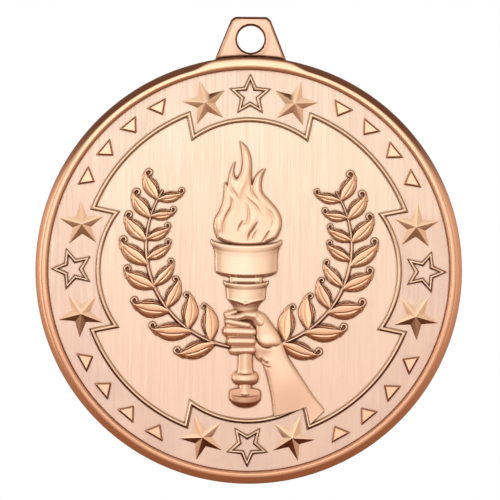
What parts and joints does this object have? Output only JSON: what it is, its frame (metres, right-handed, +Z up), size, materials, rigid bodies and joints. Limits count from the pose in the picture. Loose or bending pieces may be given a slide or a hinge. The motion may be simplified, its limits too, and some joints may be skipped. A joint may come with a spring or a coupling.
{
  "type": "award medal",
  "caption": "Round sports award medal in antiqued bronze plate: raised torch, hand, laurel wreath and star border, fixed loop with a hole for a ribbon ring.",
  "frame": {"origin": "centre of the suspension hole, midway through the loop's thickness and the disc's", "axes": "+Z up from the disc through the loop, as the medal hangs; the obverse with the relief faces -Y and the plain reverse faces +Y; +X to the right as seen from the front"},
  "size_m": [0.05, 0.0028, 0.0547],
  "materials": {
    "field": "satin",
    "polished_rim": "satin",
    "line_work": "satin",
    "stars": "satin",
    "wreath": "satin",
    "torch": "satin",
    "hand": "satin"
  },
  "bodies": {
    "root": {"field_disc": "field", "rim": "polished_rim", "suspension_loop": "polished_rim", "stepped_line": "line_work", "facet_stars": "stars", "outline_stars": "line_work", "triangle_studs": "stars", "stem_left": "wreath", "stem_right": "wreath", "leaves_left_outer": "wreath", "leaves_left_inner": "wreath", "leaves_right_outer": "wreath", "leaves_right_inner": "wreath", "flame": "torch", "torch_bowl": "torch", "torch_cup": "torch", "torch_grip": "torch", "torch_collar": "torch", "torch_neck": "torch", "torch_pommel": "torch", "fingers": "hand", "thumb": "hand", "palm": "hand", "forearm": "hand"}
  },
  "joints": []
}
